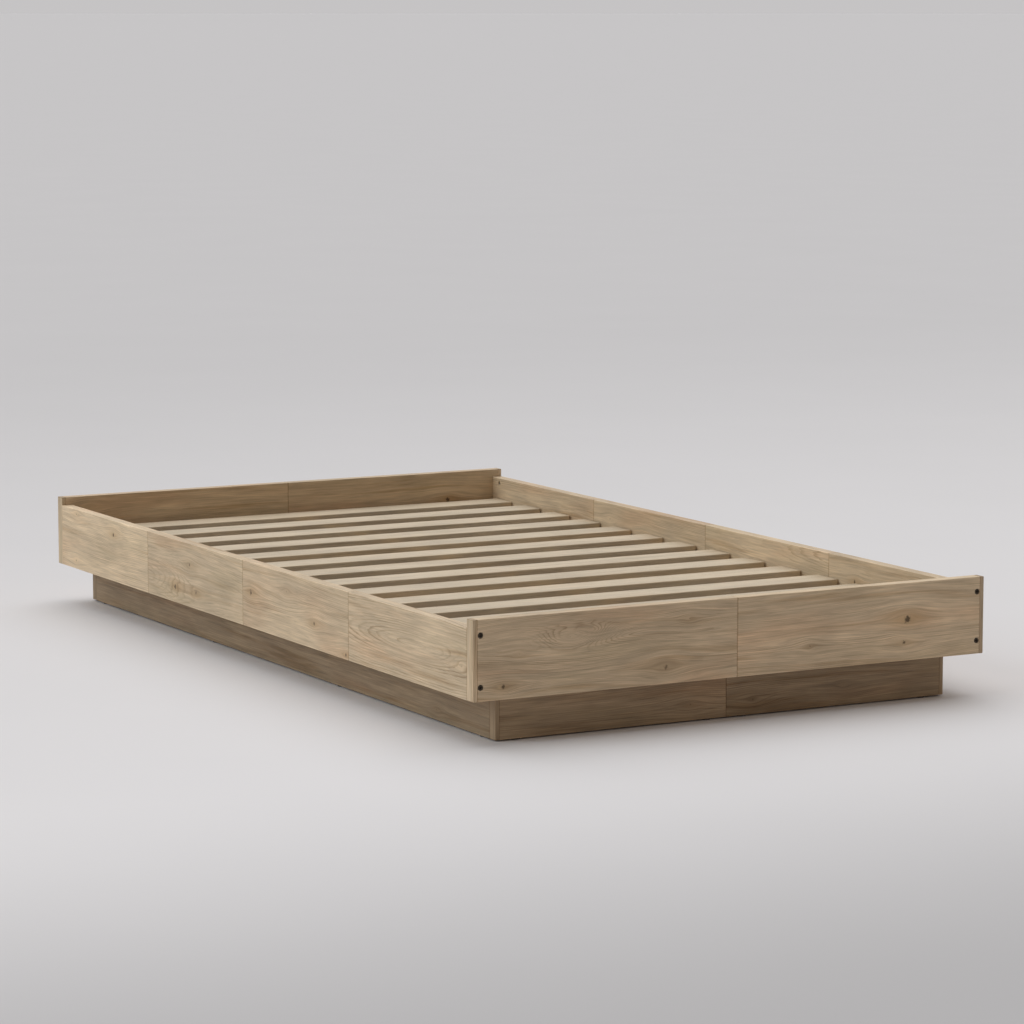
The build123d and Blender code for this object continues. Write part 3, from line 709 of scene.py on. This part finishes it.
def bent_grain(graph, place, knots, board, ring_width):
    """What a board's knots give to its grain: the bent place, the rings' lift, and the knots themselves."""
    position, lift, distance, stain = place, 0.0, NO_KNOT, 0.0
    for knot in knots:
        heart = board.centre.copy()
        heart[board.along] = knot.along
        heart.z = knot.height
        position, lift, distance, stain = graph.group(
            "Knot",
            knot_group,
            Position=position,
            Centre=board.axes @ (heart - board.centre),
            Radius=knot.radius,
            Faintness=knot.faintness,
            Lift=knot.rings * ring_width,
            Lift_before=lift,
            Distance_before=distance,
            Stain_before=stain,
        )
    return {"Position": position, "Lift": lift, "Knot_distance": distance, "Knot_stain": stain}


def timber_material(node, look, knots=()):
    """Sawn timber for one piece, with its own rings, tone and knots."""
    shift_reach = 40.0
    board = board_frame(node)
    chance = random.Random(node)
    shift = Vector([chance.uniform(0.0, shift_reach) for _ in range(3)])
    sawing = SEEN_SAWINGS.get(node) or seeded_sawing(chance, board, look)
    strengths = {name: look[name.lower().replace(" ", "_")] for name in WOOD_STRENGTHS}
    strengths["Line strength"] *= sawing.figure

    material, graph, shader = new_material(f"{look['name']}_{node}")
    move = -(board.axes @ board.centre)
    turn = board.axes.to_euler("XYZ")
    place = graph.wire("ShaderNodeMapping", graph.spot(), move, turn, vector_type="POINT")
    grain = graph.group(
        "Sawn timber",
        grain_group,
        Shift=shift,
        Pith_across=sawing.pith_height - board.centre.z,
        Pith_depth=sawing.pith_depth,
        Pith_slope=sawing.slope,
        Ring_width=sawing.ring_width,
        Drift=look["drift"],
        Glue_line=GLUE_HEIGHTS.get(node, NO_GLUE_HEIGHT) - board.centre.z,
        Tone=sawing.tone,
        **bent_grain(graph, place, knots, board, sawing.ring_width),
        **{name: (*look[name.lower()], 1.0) for name in WOOD_COLOURS},
        **strengths,
    )
    wear_and_painted_light = graph.group(
        "Worn arris", arris_group, Position=place, Half_size=board.half, Shift=shift, Colour=grain["Colour"]
    )
    graph.fill(
        shader,
        Base_Color=wear_and_painted_light["Colour"],
        Roughness=grain["Roughness"],
        Normal=graph.bump(grain["Height"], strength=0.5, depth=0.0006),
        Specular_IOR_Level=0.35,
    )
    return material


def dress_alike(slot, material):
    """Give all the pieces that share a finish one material."""
    for node in nodes_in(slot):
        dress(node, material)


def oak_look(settings, tint, streak_strength, fibre_strength, pith_reach):
    """How the oiled oak looks: its tint, streaks and fibres, and how many half widths off its pith lies."""
    shared = ("blush", "ash", "streak", "knot", "line_strength", "patch_strength")
    look = {part: getattr(settings, part) for part in (*shared, "tone_spread", "ring_width", "drift")}
    for part in ("pale", "line"):
        look[part] = [wood * shade for wood, shade in zip(getattr(settings, part), tint)]
    look.update(
        name="oak", streak_strength=streak_strength, fibre_strength=fibre_strength, pith_reach=pith_reach
    )
    return look


def dress_planed(slot, name, settings, pale, line):
    """Give the pieces that share a finish their planed timber, quieter than the oak and little stained."""
    look = {
        "name": name,
        "pale": pale,
        "line": line,
        "blush": (1.0, 0.94, 0.88),
        "ash": (0.95, 0.96, 0.92),
        "streak": (0.80, 0.70, 0.58),
        "knot": (0.160, 0.085, 0.040),
        "line_strength": 0.70,
        "fibre_strength": 0.6,
        "patch_strength": 0.30,
        "streak_strength": 0.15,
        "pith_reach": (0.0, 1.5),
        "tone_spread": 0.05,
        "ring_width": settings.ring_width,
        "drift": settings.drift,
    }
    for node in nodes_in(slot):
        dress(node, timber_material(node, look))


class BED_OT_rail_boards(bpy.types.Operator):
    """Give the side rails, the end boards and their end caps their oiled oak"""

    bl_idname = "bed.rail_boards"
    bl_label = "Rails and End Boards"

    def execute(self, context):
        settings = context.scene.bed_oak
        look = oak_look(
            settings,
            tint=(1.0, 1.0, 1.0),
            streak_strength=settings.streak_strength,
            fibre_strength=settings.fibre_strength,
            pith_reach=(0.2, 1.6),
        )
        for node in nodes_in("rail_boards"):
            knots = SEEN_KNOTS.get(node, ())
            if not knots and "_board_" in node:
                knots = seeded_knots(node, most=3, faintness=(0.1, 0.4, 0.8))
            dress(node, timber_material(node, look, knots))
        return {"FINISHED"}


class BED_OT_plinth(bpy.types.Operator):
    """Give the plinth's boards and end caps their oiled oak"""

    bl_idname = "bed.plinth"
    bl_label = "Plinth"

    def execute(self, context):
        settings = context.scene.bed_oak
        # The plinth's tint darkens it, partly as painted shade under the rails' overhang
        look = oak_look(
            settings,
            tint=settings.plinth_tint_and_shade,
            streak_strength=settings.plinth_streaks,
            fibre_strength=settings.plinth_fibres,
            pith_reach=(1.6, 3.0),
        )
        for node in nodes_in("plinth_boards"):
            knots = () if node in GRAIN_AXIS else seeded_knots(node, most=2, faintness=(0.6, 0.8))
            dress(node, timber_material(node, look, knots))
        return {"FINISHED"}


class BED_OT_inner_timber(bpy.types.Operator):
    """Give the ledgers, battens, bearers, beam, spine and blocks their planed softwood"""

    bl_idname = "bed.inner_timber"
    bl_label = "Inner Timber"

    def execute(self, context):
        settings = context.scene.bed_timber
        dress_planed("inner_timber", "planed_softwood", settings, settings.pale, settings.line)
        return {"FINISHED"}


class BED_OT_slats(bpy.types.Operator):
    """Give the slats their pale planed timber"""

    bl_idname = "bed.slats"
    bl_label = "Slats"

    def execute(self, context):
        settings = context.scene.bed_timber
        dress_planed("slat_timber", "slat_timber", settings, settings.slat_pale, settings.slat_line)
        return {"FINISHED"}


class BED_OT_dowels(bpy.types.Operator):
    """Give the dowels their bare beech"""

    bl_idname = "bed.dowels"
    bl_label = "Dowels"

    def execute(self, context):
        settings = context.scene.bed_timber
        dress_planed("dowel_beech", "dowel_beech", settings, settings.dowel_pale, settings.dowel_line)
        return {"FINISHED"}


def webbing_material(settings):
    """Plain woven cotton: warp and weft yarns that cross over and under each other, with painted shade
    between them.
    """
    fuzz_waves = Waves(900.0, 900.0, 2.0)
    fuzz_depth = 0.5
    slub_waves = Waves(300.0, 40.0, 2.0)
    slub_depth = 0.35
    crest = Ramp(0.1, 0.8)
    material, graph, shader = new_material("cotton_webbing")
    spot = graph.spot()
    across, along, _ = graph.split(spot)
    turns = math.pi / settings.yarn
    warp = graph.math("SINE", graph.times(across, turns))
    weft = graph.math("SINE", graph.times(along, turns))
    warp_over = graph.math("GREATER_THAN", graph.times(warp, weft), 0.0)
    weft_over = graph.math("SUBTRACT", 1.0, warp_over)
    height = graph.weighted(
        0.0,
        (graph.math("ABSOLUTE", warp), warp_over),
        (graph.math("ABSOLUTE", weft), weft_over),
        (graph.noise(spot, fuzz_waves), fuzz_depth),
    )
    # The low places between the yarns take the darker colour: painted shade
    woven = graph.mix(graph.ramp(height, crest), tuple(settings.shade), tuple(settings.cotton))
    slub = graph.scaled(graph.noise(spot, slub_waves), slub_depth, 1.0)
    graph.fill(
        shader,
        Base_Color=graph.scale(woven, slub),
        Roughness=0.92,
        Normal=graph.bump(height, strength=0.7, depth=0.0004),
        Specular_IOR_Level=0.2,
        Sheen_Weight=0.25,
        Sheen_Roughness=0.5,
    )
    return material


def strap_line(high, settings):
    """A strap's middle line as points along Y and Z, from the upper corner of its box.

    It runs under the slats, sags between them, and has its ends turned under as hems.
    """
    points_to_a_gap = 12
    points_to_a_turn = 6
    half = settings.thickness / 2
    top = high.z - half
    slats = sorted((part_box(node) for node in nodes_in("slat_timber")), key=lambda box: box[0].y)
    line = []
    for (_, before), (after, _) in zip(slats, slats[1:]):
        for step in range(points_to_a_gap + 1):
            part = step / points_to_a_gap
            # A parabola that hangs by the whole sag half way
            hang = 4.0 * part * (1.0 - part) * settings.sag
            line.append((before.y + part * (after.y - before.y), top - hang))
    end = high.y - half - settings.thickness
    turn = [math.pi * step / points_to_a_turn for step in range(points_to_a_turn + 1)]
    hem = [(end + half * math.sin(way), top - half + half * math.cos(way)) for way in turn]
    hem.append((end - settings.hem, top - settings.thickness))
    foot_hem = [(-y, z) for y, z in reversed(hem)]
    return foot_hem + line + hem


def strap_section(width, thickness):
    """A strap's outline across it, with full selvedges, as points along X and up from the middle line."""
    points_across = 8
    points_round = 4
    half = thickness / 2
    reach = width / 2 - half
    outline = []
    for side, first in ((1.0, -math.pi / 2), (-1.0, math.pi / 2)):
        for step in range(points_round + 1):
            way = first + math.pi * step / points_round
            outline.append((side * reach + half * math.cos(way), half * math.sin(way)))
        for step in range(1, points_across):
            outline.append((side * reach * (1.0 - 2.0 * step / points_across), side * half))
    return outline


def path_length(points):
    """Length of a line of points."""
    return sum(math.dist(first, second) for first, second in zip(points, points[1:]))


def new_object(name, data):
    """An object in the scene."""
    made = bpy.data.objects.new(name, data)
    bpy.context.scene.collection.objects.link(made)
    return made


def mesh_object(name, mesh):
    """An object in the scene that takes over an edited mesh."""
    data = bpy.data.meshes.new(name)
    mesh.to_mesh(data)
    mesh.free()
    return new_object(name, data)


def strap_piece(name, node, settings):
    """One webbing strap as a closed mesh, swept along its line, and its width and length laid flat."""
    low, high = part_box(node)
    middle = (low.x + high.x) / 2
    width = high.x - low.x
    line = strap_line(high, settings)
    section = strap_section(width, settings.thickness)
    mesh = bmesh.new()
    loops = []
    for index, (y, z) in enumerate(line):
        before = Vector(line[max(index - 1, 0)])
        after = Vector(line[min(index + 1, len(line) - 1)])
        run = (after - before).normalized()
        up = Vector((-run.y, run.x))
        loops.append([mesh.verts.new((middle + x, y + rise * up.x, z + rise * up.y)) for x, rise in section])
    for first, second in zip(loops, loops[1:]):
        for index in range(len(section)):
            following = (index + 1) % len(section)
            mesh.faces.new((first[index], first[following], second[following], second[index]))
    mesh.faces.new(loops[0][::-1])
    mesh.faces.new(loops[-1])
    bmesh.ops.recalc_face_normals(mesh, faces=mesh.faces)
    piece = mesh_object(name, mesh)
    piece.data.shade_smooth()
    return piece, (width, path_length(line))


class BED_OT_straps(bpy.types.Operator):
    """Model the two cotton straps that keep the slats at their spacing"""

    bl_idname = "bed.straps"
    bl_label = "Webbing Straps"

    def execute(self, context):
        settings = context.scene.bed_webbing
        material = webbing_material(settings)
        for node in nodes_in("cotton_webbing"):
            piece, flat = strap_piece(node.replace("slat", "webbing"), node, settings)
            piece.data.materials.append(material)
            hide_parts(node)
            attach(piece, "slat_mat")
        return {"FINISHED"}


def black_steel_material(settings):
    """Blackened steel: a dark brown-black skin with thin spots."""
    thin_waves = Waves(420.0, 420.0, 3.0)
    thin_edge = Ramp(0.02, 0.22)
    thin_light = 3.2
    gloss_waves = Waves(900.0, 900.0, 2.0)
    gloss = Ramp(-0.3, 0.3, 0.38, 0.62)
    material, graph, shader = new_material("black_steel")
    spot = graph.spot()
    graph.fill(
        shader,
        Base_Color=graph.spotted(settings.black, thin_light, spot, thin_waves, thin_edge),
        Metallic=0.7,
        Roughness=graph.ramp(graph.noise(spot, gloss_waves), gloss),
    )
    return material


def zinc_material(settings):
    """Zinc plate: soft grey spangle, a little brushed, with duller spots."""
    spangles_to_a_metre = 330.0
    darkest_spangle = 0.88
    spangle_depth = 0.16
    dull_waves = Waves(140.0, 140.0, 3.0)
    dull_depth = 0.35
    dull_roughness = 0.4
    brush_waves = Waves(60.0, 2400.0, 1.0)
    brush_roughness = 0.1
    plain_roughness = 0.36
    material, graph, shader = new_material("zinc_plate")
    spot = graph.spot()
    cells = graph.fill(graph.node("ShaderNodeTexVoronoi"), Vector=spot, Scale=spangles_to_a_metre)
    facet, _, _ = graph.split(cells.outputs["Color"])
    dull = graph.noise(spot, dull_waves)
    brush = graph.noise(spot, brush_waves)
    light = graph.weighted(darkest_spangle, (facet, spangle_depth), (dull, dull_depth))
    graph.fill(
        shader,
        Base_Color=graph.scale(tuple(settings.zinc), light),
        Metallic=1.0,
        Roughness=graph.weighted(plain_roughness, (dull, dull_roughness), (brush, brush_roughness)),
        Normal=graph.bump(brush, strength=0.15, depth=0.0002),
    )
    return material


def plastic_material(settings):
    """Moulded plastic with a fine spark-eroded grain and pale scuffs."""
    stipple_waves = Waves(1500.0, 1500.0, 2.0)
    stipple_roughness = 0.3
    plain_roughness = 0.55
    scuff_waves = Waves(160.0, 160.0, 3.0)
    scuff_edge = Ramp(0.0, 0.25)
    scuff_light = 1.8
    material, graph, shader = new_material("glide_plastic")
    spot = graph.spot()
    stipple = graph.noise(spot, stipple_waves)
    graph.fill(
        shader,
        Base_Color=graph.spotted(settings.plastic, scuff_light, spot, scuff_waves, scuff_edge),
        Roughness=graph.scaled(stipple, stipple_roughness, plain_roughness),
        Normal=graph.bump(stipple, strength=0.3, depth=0.0002),
    )
    return material


class BED_OT_black_steel(bpy.types.Operator):
    """Give the corner bolts and their washers their black skin"""

    bl_idname = "bed.black_steel"
    bl_label = "Bolts and Washers"

    def execute(self, context):
        dress_alike("black_steel", black_steel_material(context.scene.bed_fittings))
        return {"FINISHED"}


class BED_OT_zinc_steel(bpy.types.Operator):
    """Give the brackets, screws, barrel nuts and tacks their zinc plate"""

    bl_idname = "bed.zinc_steel"
    bl_label = "Plated Fittings"

    def execute(self, context):
        dress_alike("zinc_steel", zinc_material(context.scene.bed_fittings))
        return {"FINISHED"}


class BED_OT_glides(bpy.types.Operator):
    """Give the floor glides their moulded plastic"""

    bl_idname = "bed.glides"
    bl_label = "Floor Glides"

    def execute(self, context):
        dress_alike("glide_plastic", plastic_material(context.scene.bed_fittings))
        return {"FINISHED"}


def floor_material(settings):
    """Matt floor with a painted pool of light round the bed, darker towards the foot and far past the head,
    and a barely mottled tone.
    """
    painted_shade_to_foot = Ramp(-3.1, -1.1, 0.63, 1.0)
    painted_shade_to_head = Ramp(-2.0, 7.0, 1.0, 0.78)
    mottle_waves = Waves(1.6, 1.6, 3.0)
    mottle_depth = 0.03
    material, graph, shader = new_material("studio_floor")
    spot = graph.spot()
    _, along, _ = graph.split(spot)
    # Painted light: palest round the bed, with painted shade towards the foot and far past the head
    tone = graph.times(graph.ramp(along, painted_shade_to_foot), graph.ramp(along, painted_shade_to_head))
    mottle = graph.scaled(graph.noise(spot, mottle_waves), mottle_depth, 1.0)
    graph.fill(
        shader,
        Base_Color=graph.scale(tuple(settings.floor), graph.times(tone, mottle)),
        Roughness=0.9,
        Specular_IOR_Level=0.1,
    )
    return material


def studio_floor(settings):
    """A round floor under the bed."""
    edge_points = 96
    mesh = bmesh.new()
    bmesh.ops.create_circle(mesh, cap_ends=True, segments=edge_points, radius=settings.floor_reach)
    floor = mesh_object("studio_floor", mesh)
    floor.data.materials.append(floor_material(settings))


def studio_lamp(name, tint, strength, softness, height, turn):
    """A soft lamp far away: so high, and so far round from the bed's left side towards its head."""
    data = bpy.data.lights.new(name, "SUN")
    data.color = tint
    data.energy = strength
    data.angle = softness
    level = math.cos(height)
    towards = Vector((-level * math.cos(turn), level * math.sin(turn), math.sin(height)))
    new_object(name, data).rotation_euler = towards.to_track_quat("Z", "Y").to_euler()


def studio_lights(settings):
    """A wide key light from above the head end and a low fill from the left."""
    parts = ("colour", "strength", "softness", "height", "turn")
    for name in ("key", "fill"):
        studio_lamp(f"{name}_light", *(getattr(settings, f"{name}_{part}") for part in parts))


def studio_sky(settings):
    """Even light from all round, behind which the camera and the gloss see the backdrop's colour."""
    world = bpy.data.worlds.new("studio_sky")
    world.use_nodes = True
    world.node_tree.nodes.clear()
    graph = Graph(world.node_tree)
    rays = graph.node("ShaderNodeLightPath").outputs
    seen = graph.math("MAXIMUM", rays["Is Camera Ray"], rays["Is Glossy Ray"])
    sky = graph.wire("ShaderNodeBackground", (*settings.sky_colour, 1.0), settings.sky_strength)
    backdrop = graph.wire("ShaderNodeBackground", (*settings.backdrop, 1.0), 1.0)
    choice = graph.wire("ShaderNodeMixShader", seen, sky, backdrop)
    graph.fill(graph.node("ShaderNodeOutputWorld"), Surface=choice)
    bpy.context.scene.world = world


def studio_camera(settings):
    """The camera at the photograph's viewing angle."""
    data = bpy.data.cameras.new("camera")
    data.lens = settings.lens
    camera = new_object("camera", data)
    camera.location = settings.camera_place
    camera.rotation_euler = (math.pi / 2 - settings.camera_pitch, 0.0, -settings.camera_yaw)
    bpy.context.scene.camera = camera


class BED_OT_stage(bpy.types.Operator):
    """Set up the floor, the light and the camera"""

    bl_idname = "bed.stage"
    bl_label = "Studio"

    def execute(self, context):
        settings = context.scene.bed_stage
        studio_floor(settings)
        studio_lights(settings)
        studio_sky(settings)
        studio_camera(settings)
        context.scene.view_settings.view_transform = "Standard"
        return {"FINISHED"}


OPERATORS = (
    BED_OT_rail_boards,
    BED_OT_plinth,
    BED_OT_inner_timber,
    BED_OT_slats,
    BED_OT_dowels,
    BED_OT_straps,
    BED_OT_black_steel,
    BED_OT_zinc_steel,
    BED_OT_glides,
    BED_OT_stage,
)
SETTINGS = {
    "bed_oak": BED_PG_oak,
    "bed_timber": BED_PG_timber,
    "bed_webbing": BED_PG_webbing,
    "bed_fittings": BED_PG_fittings,
    "bed_stage": BED_PG_stage,
}


class BED_PT_looks(bpy.types.Panel):
    """The bed's operators and settings in the sidebar"""

    bl_idname = "BED_PT_looks"
    bl_label = "Platform Bed"
    bl_space_type = "VIEW_3D"
    bl_region_type = "UI"
    bl_category = "Bed"

    def draw(self, context):
        for operator in OPERATORS:
            self.layout.operator(operator.bl_idname)
        for name in SETTINGS:
            group = getattr(context.scene, name)
            box = self.layout.box()
            for setting in group.__annotations__:
                box.prop(group, setting)


CLASSES = (*SETTINGS.values(), *OPERATORS, BED_PT_looks)


def register():
    for kind in CLASSES:
        bpy.utils.register_class(kind)
    for name, kind in SETTINGS.items():
        setattr(bpy.types.Scene, name, PointerProperty(type=kind))


def unregister():
    for name in SETTINGS:
        delattr(bpy.types.Scene, name)
    for kind in reversed(CLASSES):
        bpy.utils.unregister_class(kind)


def main():
    """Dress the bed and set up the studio."""
    register()
    bpy.ops.bed.rail_boards()
    bpy.ops.bed.plinth()
    bpy.ops.bed.inner_timber()
    bpy.ops.bed.slats()
    bpy.ops.bed.dowels()
    bpy.ops.bed.straps()
    bpy.ops.bed.black_steel()
    bpy.ops.bed.zinc_steel()
    bpy.ops.bed.glides()
    bpy.ops.bed.stage()


if __name__ == "__main__":
    main()
